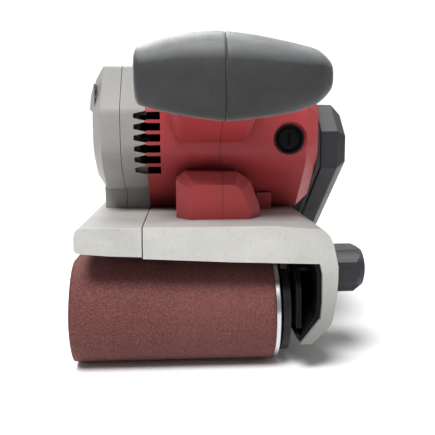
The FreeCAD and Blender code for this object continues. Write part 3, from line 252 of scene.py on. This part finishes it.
def rubber(name, colour, dust_and_top_light=0.2):
    """Soft-touch grip rubber: pebbled, with rubbed patches, dust with painted top light on faces that look
    up, and painted shade in creases.
    """
    s = Shader(name)
    blotch = s.noise(34, 5, 0.62)
    smear = s.noise(9, 3, place=s.stretched((0.5, 1.0, 2.2)))
    base = s.ramp(blotch, [(0.3, tint(colour, 0.82)), (0.7, tint(colour, 1.22))])
    base = s.mix(s.span(smear, 0.45, 0.7, 0.0, 0.35), base, tint(colour, 1.7))
    specks = s.noise(1100, 2, 0.7)
    base = s.mix(s.span(specks, 0.58, 0.72, 0.0, 0.3), base, tint(colour, 2.6))
    scuff = s.noise(130, 5, 0.7, place=s.stretched((0.35, 1.0, 1.0)))
    # Dust on faces that look up, which also paints the light falling on their tops
    settled_dust_and_top_light = s.math("MULTIPLY", s.upward(0.22, 0.75, dust_and_top_light), s.span(scuff, 0.3, 0.7, 0.55, 1.0))
    base = s.mix(settled_dust_and_top_light, base, RUBBER_DUST_AND_TOP_LIGHT)
    # Painted shade: creases are darkened
    crease_shade = s.span(s.shut_in(4 * MM), 0.2, 0.8, 0.5, 0.0)
    base = s.mix(crease_shade, base, tint(colour, 0.35))
    s.set(Base_Color=base, Roughness=s.span(blotch, 0.3, 0.7, 0.62, 0.50),
          Normal=s.bump(s.noise(1300, 3, 0.65), 0.09 * MM, 0.8), Specular_IOR_Level=0.32,
          Sheen_Weight=0.3, Sheen_Roughness=0.35)
    return s.material


def abrasive(name):
    """Coated abrasive: dark resin, crowded fine grains with pale glints, and faint worn patches."""
    s = Shader(name)
    grains = s.cells(2100)
    coarse = s.cells(1100)
    base = s.ramp(grains.outputs["Color"], [
        (0.0, (0.080, 0.022, 0.021, 1)), (0.5, (0.160, 0.050, 0.047, 1)), (1.0, (0.27, 0.100, 0.092, 1))])
    resin = s.span(grains.outputs["Distance"], 0.30, 0.65, 0.0, 0.55)
    base = s.mix(resin, base, (0.065, 0.020, 0.018, 1))
    glint = s.span(s.noise(1700, 2, 0.7), 0.64, 0.72, 0.0, 0.45)
    base = s.mix(glint, base, (0.50, 0.25, 0.23, 1))
    patch = s.noise(11, 4, 0.6)
    base = s.mix(s.span(patch, 0.40, 0.65, 0.0, 0.22), base, (0.23, 0.088, 0.08, 1))
    streak = s.noise(60, 4, 0.6, place=s.stretched((1.0, 0.12, 0.12)))
    base = s.mix(s.span(streak, 0.35, 0.65, 0.20, 0.0), base, (0.09, 0.034, 0.03, 1))
    height = s.math("ADD", s.math("MULTIPLY", grains.outputs["Distance"], -1.0),
                    s.math("MULTIPLY", coarse.outputs["Distance"], -0.7))
    s.set(Base_Color=base, Roughness=s.span(s.noise(1500, 2), 0.3, 0.7, 0.6, 0.85),
          Normal=s.bump(height, 0.18 * MM, 0.8), Specular_IOR_Level=0.25)
    return s.material


def cloth(name):
    """The belt's backing: woven cotton stiffened with glue."""
    s = Shader(name)
    warp = s.add("ShaderNodeTexWave", Vector=s.place, Scale=620.0, Distortion=0.6)
    fibre = s.noise(500, 3, place=s.stretched((1.0, 0.15, 0.15)))
    base = s.ramp(fibre, [(0.3, (0.27, 0.16, 0.11, 1)), (0.7, (0.46, 0.31, 0.22, 1))])
    s.set(Base_Color=base, Roughness=0.85, Normal=s.bump(warp.outputs["Fac"], 0.08 * MM))
    return s.material


def metal(name, colour, roughness, stretch=(1.0, 40.0, 40.0)):
    """Machined metal: fine turning lines, smudges, and painted shade in creases."""
    s = Shader(name)
    lines = s.noise(60, 4, 0.6, place=s.stretched(stretch))
    smudge = s.noise(45, 4)
    base = s.ramp(smudge, [(0.3, tint(colour, 0.82)), (0.75, tint(colour, 1.05))])
    # Painted shade: creases are darkened
    crease_shade = s.span(s.shut_in(3 * MM), 0.2, 0.8, 0.6, 0.0)
    base = s.mix(crease_shade, base, tint(colour, 0.3))
    base = s.mix(s.span(lines, 0.4, 0.6, 0.0, 0.12), base, tint(colour, 0.5))
    s.set(Base_Color=base, Metallic=1.0,
          Roughness=s.span(smudge, 0.3, 0.7, roughness - 0.06, roughness + 0.1),
          Normal=s.bump(lines, 0.02 * MM, 0.6))
    return s.material


def cork(name):
    """The pad's bonded cork granules, pale to dark brown."""
    s = Shader(name)
    granule = s.cells(420)
    base = s.ramp(granule.outputs["Color"], [(0.0, (0.12, 0.06, 0.03, 1)), (1.0, (0.42, 0.26, 0.14, 1))])
    s.set(Base_Color=base, Roughness=0.85, Normal=s.bump(granule.outputs["Distance"], 0.2 * MM))
    return s.material


def winding(name, colour):
    """Varnished wire laid round the motor's axis."""
    s = Shader(name)
    wave = s.add("ShaderNodeTexWave", Vector=s.place, Scale=420.0, Distortion=1.5)
    base = s.ramp(wave.outputs["Fac"], [(0.1, tint(colour, 0.35)), (0.6, tint(colour, 1.0))])
    s.set(Base_Color=base, Metallic=0.7, Roughness=s.span(s.noise(60), 0.3, 0.7, 0.3, 0.5),
          Normal=s.bump(wave.outputs["Fac"], 0.2 * MM))
    return s.material


def laminated(name):
    """A stack of thin steel sheets, edge on."""
    s = Shader(name)
    wave = s.add("ShaderNodeTexWave", Vector=s.place, Scale=640.0, Distortion=0.2)
    base = s.ramp(wave.outputs["Fac"], [(0.2, (0.10, 0.10, 0.105, 1)), (0.7, (0.33, 0.33, 0.34, 1))])
    s.set(Base_Color=base, Metallic=0.8, Roughness=s.span(s.noise(80), 0.3, 0.7, 0.38, 0.6),
          Normal=s.bump(wave.outputs["Fac"], 0.1 * MM))
    return s.material


def make_materials():
    """Every material by the name of its slot, and the belt's backing."""
    return {
        "cast_paint": cast_paint("cast_paint", (0.50, 0.495, 0.47), DARK_GREY),
        "fan_plastic": moulded("fan_plastic", (0.29, 0.284, 0.270), 0.5, wear=0.2, painted_shade_and_grime=0.12, light=1.2),
        # Painted shade: the red shell's long reach darkens it under the grip
        "red_plastic": moulded("red_plastic", (0.36, 0.042, 0.046), 0.46, wear=0.35, painted_shade_and_grime=0.75, dust_and_top_light=0.08,
                               reach=14),
        # Painted top light: the high dust shares of the grip and the dark cover lighten their tops
        "grip_rubber": rubber("grip_rubber", (0.032, 0.033, 0.034), dust_and_top_light=0.85),
        "dark_plastic": moulded("dark_plastic", DARK_GREY, 0.5, wear=0.5, painted_shade_and_grime=0.3, light=2.2, gloss=0.2,
                                dust_and_top_light=0.42),
        "black_plastic": moulded("black_plastic", (0.006, 0.006, 0.007), 0.42, wear=0.4, painted_shade_and_grime=0.2,
                                 light=2.5, gloss=0.08),
        "steel": metal("steel", (0.56, 0.56, 0.57), 0.32),
        "black_steel": moulded("black_steel", (0.010, 0.010, 0.011), 0.32, grain=0.7, wear=0.6, light=6.0,
                               gloss=0.25),
        "alloy": metal("alloy", (0.80, 0.80, 0.81), 0.28, stretch=(40.0, 1.0, 1.0)),
        "abrasive": abrasive("abrasive"),
        "belt_cloth": cloth("belt_cloth"),
        "black_rubber": rubber("black_rubber", (0.02, 0.02, 0.021)),
        "laminations": laminated("laminations"),
        "copper": winding("copper", (0.75, 0.33, 0.16)),
        "carbon": moulded("carbon", (0.03, 0.03, 0.032), 0.6),
        "pad_cork": cork("pad_cork"),
    }


# Steel parts shown black as painted shade, since they sit in shadow inside the tool, so that none of them
# glints
SHADED_BLACK_PARTS = ("tracking_screw", "tracking_spindle", "idler_axle", "motor_bearing_left", "armature_shaft")


def dress_nodes():
    """Each CAD node takes the material of its slot in the record; a few steel parts are painted black as
    shade.
    """
    for part in frame["record"]["subparts"]:
        look = "black_steel" if part["node"] in SHADED_BLACK_PARTS else part["material_slot"]
        mesh = NODES[part["node"]].data
        mesh.materials.clear()
        mesh.materials.append(MATERIALS[look])


# ---- edges of the CAD nodes ----

# The width of the rounding on each node's edges, in millimetres
SOFT_EDGES = {
    "main_frame": 0.9, "hood_side_piece": 0.9, "motor_shell_left": 0.8, "motor_shell_right": 0.8,
    "fan_housing": 0.7, "fan_cover": 0.9, "drive_cover": 0.9, "side_lining": 0.3, "idler_yoke": 0.5,
    "tracking_knob": 0.6, "dust_spout": 0.5, "tension_lever": 0.6, "trigger": 1.0, "rear_grip_left": 0.5,
    "rear_grip_right": 0.5, "brush_cap_front": 0.35, "brush_holders": 0.35, "brush_cap_rear": 0.35,
    "idler_end_ring": 0.25, "platen_plate": 0.2, "lock_button": 0.5, "cord_gland": 0.4, "idler_roller": 0.4,
    "drive_roller": 0.4, "yoke_carrier": 0.4, "lever_crank": 0.4,
}


def soften(name, width):
    """Rounds a node's sharp edges with modifiers; its own mesh stays as it is."""
    node = NODES[name]
    weld = node.modifiers.new("weld", "WELD")
    weld.merge_threshold = 0.005 * MM
    flat = node.modifiers.new("flat", "DECIMATE")
    flat.decimate_type = "DISSOLVE"
    flat.angle_limit = math.radians(0.6)
    bevel = node.modifiers.new("bevel", "BEVEL")
    bevel.width = width * MM
    bevel.segments = 3
    bevel.limit_method = "ANGLE"
    bevel.angle_limit = math.radians(24)
    bevel.use_clamp_overlap = True
    bevel.miter_outer = "MITER_ARC"
    normals = node.modifiers.new("normals", "WEIGHTED_NORMAL")
    normals.weight = 60
    normals.keep_sharp = False


# ---- meshes ----

def add_object(name, bm):
    """The finished mesh as an object of the scene."""
    mesh = bpy.data.meshes.new(name)
    bm.to_mesh(mesh)
    bm.free()
    made = bpy.data.objects.new(name, mesh)
    bpy.context.scene.collection.objects.link(made)
    return made


def new_piece(name, bm, material, body, slot, *replaced):
    """A finished mesh as a piece on a body, if one is named, standing for the CAD nodes that it replaces."""
    bmesh.ops.recalc_face_normals(bm, faces=bm.faces)
    piece = add_object(name, bm)
    for face in piece.data.polygons:
        face.use_smooth = True
    piece.data.materials.append(MATERIALS[material])
    if body:
        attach(piece, body)
    if replaced:
        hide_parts(*replaced)
    return piece


def skin_rings(bm, rings):
    """Joins rings of points into a closed skin, with a fan over each end."""
    loops = [[bm.verts.new(point) for point in ring] for ring in rings]
    count = len(loops[0])
    for low, high in zip(loops, loops[1:]):
        for i in range(count):
            j = (i + 1) % count
            bm.faces.new((low[i], low[j], high[j], high[i]))
    for ring in (loops[0], loops[-1]):
        middle = sum((v.co for v in ring), Vector()) / count
        hub = bm.verts.new(middle)
        for i in range(count):
            bm.faces.new((ring[i], ring[(i + 1) % count], hub))


def through(points, x):
    """The smooth curve through the (x, value) points, read at x."""
    last = len(points) - 1
    i = 0
    while i < last - 1 and x > points[i + 1][0]:
        i += 1

    def slope(k):
        low, high = points[max(k - 1, 0)], points[min(k + 1, last)]
        return (high[1] - low[1]) / (high[0] - low[0])

    (x0, v0), (x1, v1) = points[i], points[i + 1]
    width = x1 - x0
    t = min(max((x - x0) / width, 0.0), 1.0)
    return ((1 + 2 * t) * (1 - t) ** 2 * v0 + t * (1 - t) ** 2 * width * slope(i)
            + t * t * (3 - 2 * t) * v1 - t * t * (1 - t) * width * slope(i + 1))


# Front grip, in millimetres: its top and bottom lines against X
GRIP_TOP = [
    (-18.6, 158.2), (-1, 163.4), (8, 165.2), (22, 166.1), (36, 164.9), (46, 163.2), (66, 158.8), (77, 155),
]
GRIP_BOTTOM = [(-18.6, 132.4), (-4, 128.4), (20, 124.2), (30, 124.0), (57, 127.6), (69, 131.4), (77, 135)]
# Its ends: how far in from the tip, and how much the section is shrunk there
GRIP_LEFT_FACE = [(0.0, 11.5), (0.25, 7.0)]
GRIP_RIGHT_END = [
    (8.6, 0.02), (7.4, 0.12), (6.2, 0.4), (5.0, 0.85), (3.8, 1.4), (2.6, 2.05), (1.6, 2.75), (0.8, 3.5),
    (0.3, 4.3), (0.08, 5.2), (0.0, 6.4), (0.0, 8.6),
]
# The rounded rim of its left end, its barrels, and the lips on both sides of its seam
RIM_START = 0.7
RIM_LENGTH = 2.6
RIM_DEPTH = 4.0
RIM_STEPS = 8
BARREL_STEPS = 30
BARREL_END = 9.5
GRIP_SEAM = 25.0
SEAM_HALF_GAP = 0.22
SEAM_DEPTH = 4.0
LIP_REACH = 1.2
LIP_LENGTH = 0.55
LIP_DEPTH = 0.9
LIP_ANGLES = (0.4, 0.9, 1.3, math.pi / 2)
GRIP_SIDES = 96
GRIP_SQUARE = 2.25
GRIP_DEPTH = 0.97


def grip_ring(x, shrink, centre_y):
    """One section of the grip: a slightly squared oval, shrunk in millimetres at its ends and seam."""
    top, bottom = through(GRIP_TOP, x), through(GRIP_BOTTOM, x)
    middle, half = (top + bottom) / 2, (top - bottom) / 2 - shrink
    ring = []
    for i in range(GRIP_SIDES):
        angle = 2 * math.pi * i / GRIP_SIDES
        c, s = math.cos(angle), math.sin(angle)
        y = math.copysign(abs(c) ** (2 / GRIP_SQUARE), c) * half * GRIP_DEPTH
        z = math.copysign(abs(s) ** (2 / GRIP_SQUARE), s) * half
        ring.append(Vector((x, centre_y + y, middle + z)) * MM)
    return ring


def rounded_rim(x_start):
    """Stations (x, shrink) round the rim at the left end, from its flat face to the full section."""
    angles = [math.pi / 2 * i / RIM_STEPS for i in range(RIM_STEPS + 1)]
    return [(x_start + RIM_LENGTH * (1 - math.cos(a)), RIM_DEPTH * (1 - math.sin(a))) for a in angles]


def barrel(start, end, first):
    """Stations (x, shrink) in even steps along the full section, leaving out those before the first."""
    return [(start + (end - start) * i / BARREL_STEPS, 0.0) for i in range(first, BARREL_STEPS + 1)]


def seam_lip(side):
    """Stations (x, shrink) of the lip beside the seam and its wall, for the half on the side -1 or 1."""
    wall = GRIP_SEAM + side * SEAM_HALF_GAP
    lip = [(wall + side * LIP_LENGTH * (1 - math.sin(a)), LIP_DEPTH * (1 - math.cos(a))) for a in LIP_ANGLES]
    return lip + [(wall, SEAM_DEPTH)]


def front_grip():
    """The grip's two rubber halves, which meet at a fine seam."""
    low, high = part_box("front_grip_left")[0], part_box("front_grip_right")[1]
    centre_y = (low.y + high.y) / 2 / MM
    x_left, x_right = low.x / MM, high.x / MM
    left = [(x_left + inward, shrink) for inward, shrink in GRIP_LEFT_FACE]
    left += rounded_rim(x_left + RIM_START)
    left += barrel(x_left + RIM_START + RIM_LENGTH, GRIP_SEAM - LIP_REACH, 1)
    left += seam_lip(-1)
    right = seam_lip(1)[::-1]
    right += barrel(GRIP_SEAM + LIP_REACH, x_right - BARREL_END, 0)
    right += [(x_right - inward, shrink) for inward, shrink in GRIP_RIGHT_END]
    for node, stations in (("front_grip_left", left), ("front_grip_right", right)):
        bm = bmesh.new()
        skin_rings(bm, [grip_ring(x, shrink, centre_y) for x, shrink in stations])
        new_piece(node + "_rubber", bm, "grip_rubber", "root", "grip_rubber", node)


# Belt, in millimetres. CURL_FROM is the share of the half width past which the edge curls, and JOINT_PLACE
# the share of the way round the loop where the slanted joint starts
BELT_ROWS = 44
BELT_THICK = 0.68
BELT_INSET = 0.14
BELT_WAVER = 0.12
EDGE_CURL = 0.10
CURL_FROM = 0.94
JOINT_PLACE = 0.30
JOINT_SLANT = 45
JOINT_HALF_WIDTH = 6.0
JOINT_LIFT = 0.12
AXLE_Z = 27.0
PLATEN_END = 74.0


def belt_station(distance, radius, span):
    """A point of the belt's outer line and its outward direction, that far round the loop."""
    bend = math.pi * radius
    whole = 2 * (span + bend)
    distance %= whole
    half = span / 2
    if distance < span:
        return (-half + distance, AXLE_Z + radius), (0, 1)
    distance -= span
    if distance < bend:
        angle = math.pi / 2 - distance / radius
        out = (math.cos(angle), math.sin(angle))
        return (half + radius * out[0], AXLE_Z + radius * out[1]), out
    distance -= bend
    if distance < span:
        y = half - distance
        rise = max(0.0, abs(y) - PLATEN_END) / (half - PLATEN_END)
        return (y, (AXLE_Z - radius) * rise), (0, -1)
    angle = -math.pi / 2 - (distance - span) / radius
    out = (math.cos(angle), math.sin(angle))
    return (-half + radius * out[0], AXLE_Z + radius * out[1]), out


# The belt is two pieces, which part at this Y, the front one round the idler, and their rows lie this far
# apart
BELT_PART_Y = -62.0
BELT_STEP = 1.6


def belt_row(distance, radius, span, inner):
    """One row of points across the belt, with its faintly uneven edges and the lift of the slanted joint."""
    low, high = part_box("sanding_belt")
    whole = 2 * (span + math.pi * radius)
    middle_y = (high.y + low.y) / 2 / MM
    x_left, x_right = low.x / MM, high.x / MM
    (y, z), out = belt_station(distance, radius, span)
    turn = 2 * math.pi * distance / whole
    waver = BELT_WAVER * math.sin(7 * turn + 1.3) * math.sin(11 * turn)
    row = []
    for j in range(BELT_ROWS + 1):
        across = j / BELT_ROWS
        off_middle = abs(across - 0.5) * 2
        x = x_left + BELT_INSET + (x_right - x_left - 2 * BELT_INSET) * across + waver * (off_middle > 0.98)
        joint = (distance % whole - whole * JOINT_PLACE - JOINT_SLANT * across) / JOINT_HALF_WIDTH
        lift = JOINT_LIFT * math.exp(-joint ** 4) - JOINT_LIFT
        curl = -EDGE_CURL * max(0.0, off_middle - CURL_FROM) / (1 - CURL_FROM)
        depth = BELT_THICK if inner else -(lift + curl)
        row.append(Vector((x, middle_y + y - out[0] * depth, z - out[1] * depth)) * MM)
    return row


def belt_band(name, first, last, radius, span, body):
    """The stretch of the belt from one distance round its loop to another."""
    steps = round((last - first) / BELT_STEP)
    bm = bmesh.new()
    outer, inner = (
        [[bm.verts.new(point) for point in belt_row(first + (last - first) * i / steps, radius, span, side)]
         for i in range(steps + 1)]
        for side in (False, True)
    )
    for i in range(steps):
        for j in range(BELT_ROWS):
            bm.faces.new((outer[i][j], outer[i + 1][j], outer[i + 1][j + 1], outer[i][j + 1]))
            backing = bm.faces.new((inner[i][j], inner[i][j + 1], inner[i + 1][j + 1], inner[i + 1][j]))
            backing.material_index = 1
        for j in (0, BELT_ROWS):
            edge = bm.faces.new((outer[i][j], inner[i][j], inner[i + 1][j], outer[i + 1][j]))
            edge.material_index = 1
    for i in (0, steps):
        for j in range(BELT_ROWS):
            end = bm.faces.new((outer[i][j], outer[i][j + 1], inner[i][j + 1], inner[i][j]))
            end.material_index = 1
    band = new_piece(name, bm, "abrasive", body, "abrasive", "sanding_belt")
    band.data.materials.append(MATERIALS["belt_cloth"])
    return band


def sanding_belt():
    """The abrasive belt, a thin cloth-backed band: its front turn round the idler is a piece of its own, the
    rest is on the frame.
    """
    low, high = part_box("sanding_belt")
    radius = high.z / MM - AXLE_Z
    span = (high.y - low.y) / MM - 2 * radius
    whole = 2 * (span + math.pi * radius)
    parting = BELT_PART_Y + span / 2
    lower_parting = whole - math.pi * radius - parting
    belt_band("abrasive_belt", parting, lower_parting, radius, span, "root")
    front = belt_band("abrasive_belt_front", lower_parting, whole + parting, radius, span, None)
    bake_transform(front)


# Fan chamber, in millimetres, round the motor's axis; its wall's angles, in degrees, count up from the rear
MOTOR_Y = -51.0
MOTOR_Z = 114.5
CHAMBER_X = (-20.4, -15.2)
CHAMBER_RADII = (26.5, 27.3)
CHAMBER_START = -55
CHAMBER_TURN = 125
CHAMBER_STEPS = 30


def fan_chamber_wall():
    """The wall round the back of the cooling fan's chamber, between it and the dust outlet, made black as
    painted shade inside the vents.
    """
    left, right = CHAMBER_X
    inner, outer = CHAMBER_RADII
    corners = ((left, inner), (right, inner), (right, outer), (left, outer))
    rings = []
    for i in range(CHAMBER_STEPS + 1):
        angle = math.radians(CHAMBER_START + CHAMBER_TURN * i / CHAMBER_STEPS)
        c, s = math.cos(angle), math.sin(angle)
        rings.append([Vector((x, MOTOR_Y + r * c, MOTOR_Z + r * s)) * MM for x, r in corners])
    bm = bmesh.new()
    skin_rings(bm, rings)
    new_piece("fan_chamber_wall", bm, "black_plastic", "root", "black_plastic")


# ---- stage ----

FLOOR_RADIUS = 1.5
FLOOR_Z = -0.0002
FLOOR_TONES = [(0.3, (0.92, 0.92, 0.92, 1)), (0.7, (0.94, 0.94, 0.94, 1))]
BACKDROP_RADIUS = 3.0
BLACK = (0, 0, 0, 1)
WHITE = (1, 1, 1, 1)
BACKDROP_GLOW = 1.1
WORLD_GLOW = 0.30


def stage():
    """A plain pale floor, and a white backdrop that gives no light."""
    bm = bmesh.new()
    bmesh.ops.create_circle(bm, cap_ends=True, segments=96, radius=FLOOR_RADIUS)
    floor = add_object("floor", bm)
    floor.location = (0, 0, FLOOR_Z)
    s = Shader("floor")
    s.set(Base_Color=s.ramp(s.noise(3), FLOOR_TONES), Roughness=0.8, Specular_IOR_Level=0.1)
    floor.data.materials.append(s.material)

    bm = bmesh.new()
    bmesh.ops.create_icosphere(bm, subdivisions=4, radius=BACKDROP_RADIUS)
    backdrop = add_object("backdrop", bm)
    glow = Shader("backdrop")
    glow.set(Base_Color=BLACK, Emission_Color=WHITE, Emission_Strength=BACKDROP_GLOW)
    backdrop.data.materials.append(glow.material)
    backdrop.visible_diffuse = False
    backdrop.visible_glossy = False
    backdrop.visible_transmission = False
    backdrop.visible_shadow = False


def lamp(name, kind, power, aim):
    """A new light that shines along the aim, with its data."""
    data = bpy.data.lights.new(name, kind)
    data.energy = power
    made = bpy.data.objects.new(name, data)
    bpy.context.scene.collection.objects.link(made)
    made.rotation_euler = aim.to_track_quat("-Z", "Y").to_euler()
    return made, data


def lights():
    """An even white surround, a broad sun from above the front, and a disc of light above the back."""
    world = bpy.data.worlds.new("studio")
    bpy.context.scene.world = world
    world.use_nodes = True
    background = world.node_tree.nodes["Background"]
    background.inputs["Color"].default_value = WHITE
    background.inputs["Strength"].default_value = WORLD_GLOW
    key = lamp("key", "SUN", 3.4, Vector((0.20, 0.46, -0.86)))[1]
    key.angle = math.radians(26)
    place, target = Vector((-0.15, 0.45, 0.75)), Vector((0, -0.12, 0.15))
    rim, disc = lamp("rim", "AREA", 6.0, target - place)
    rim.location = place
    disc.shape = "DISK"
    disc.size = 0.5


# Camera, in millimetres
SENSOR_WIDTH = 36
FOCAL_LENGTH = 53.793
EYE = Vector((4.47, -444.5, 120.4))
VIEW_YAW = math.radians(3.1)
VIEW_PITCH = math.radians(7.8)
VIEW_ROLL = math.radians(0.29)


def camera():
    """The camera where the photo was taken from, so far as it could be fitted."""
    data = bpy.data.cameras.new("camera")
    data.sensor_width = SENSOR_WIDTH
    data.lens = FOCAL_LENGTH
    data.clip_start = 0.01
    eye = bpy.data.objects.new("camera", data)
    bpy.context.scene.collection.objects.link(eye)
    eye.location = EYE * MM
    eye.rotation_euler = (math.pi / 2 - VIEW_PITCH, VIEW_ROLL, -VIEW_YAW)
    bpy.context.scene.camera = eye


bpy.context.scene.view_settings.view_transform = "Standard"
MATERIALS = make_materials()
dress_nodes()
for node_name, edge_width in SOFT_EDGES.items():
    soften(node_name, edge_width)
front_grip()
sanding_belt()
fan_chamber_wall()
stage()
lights()
camera()
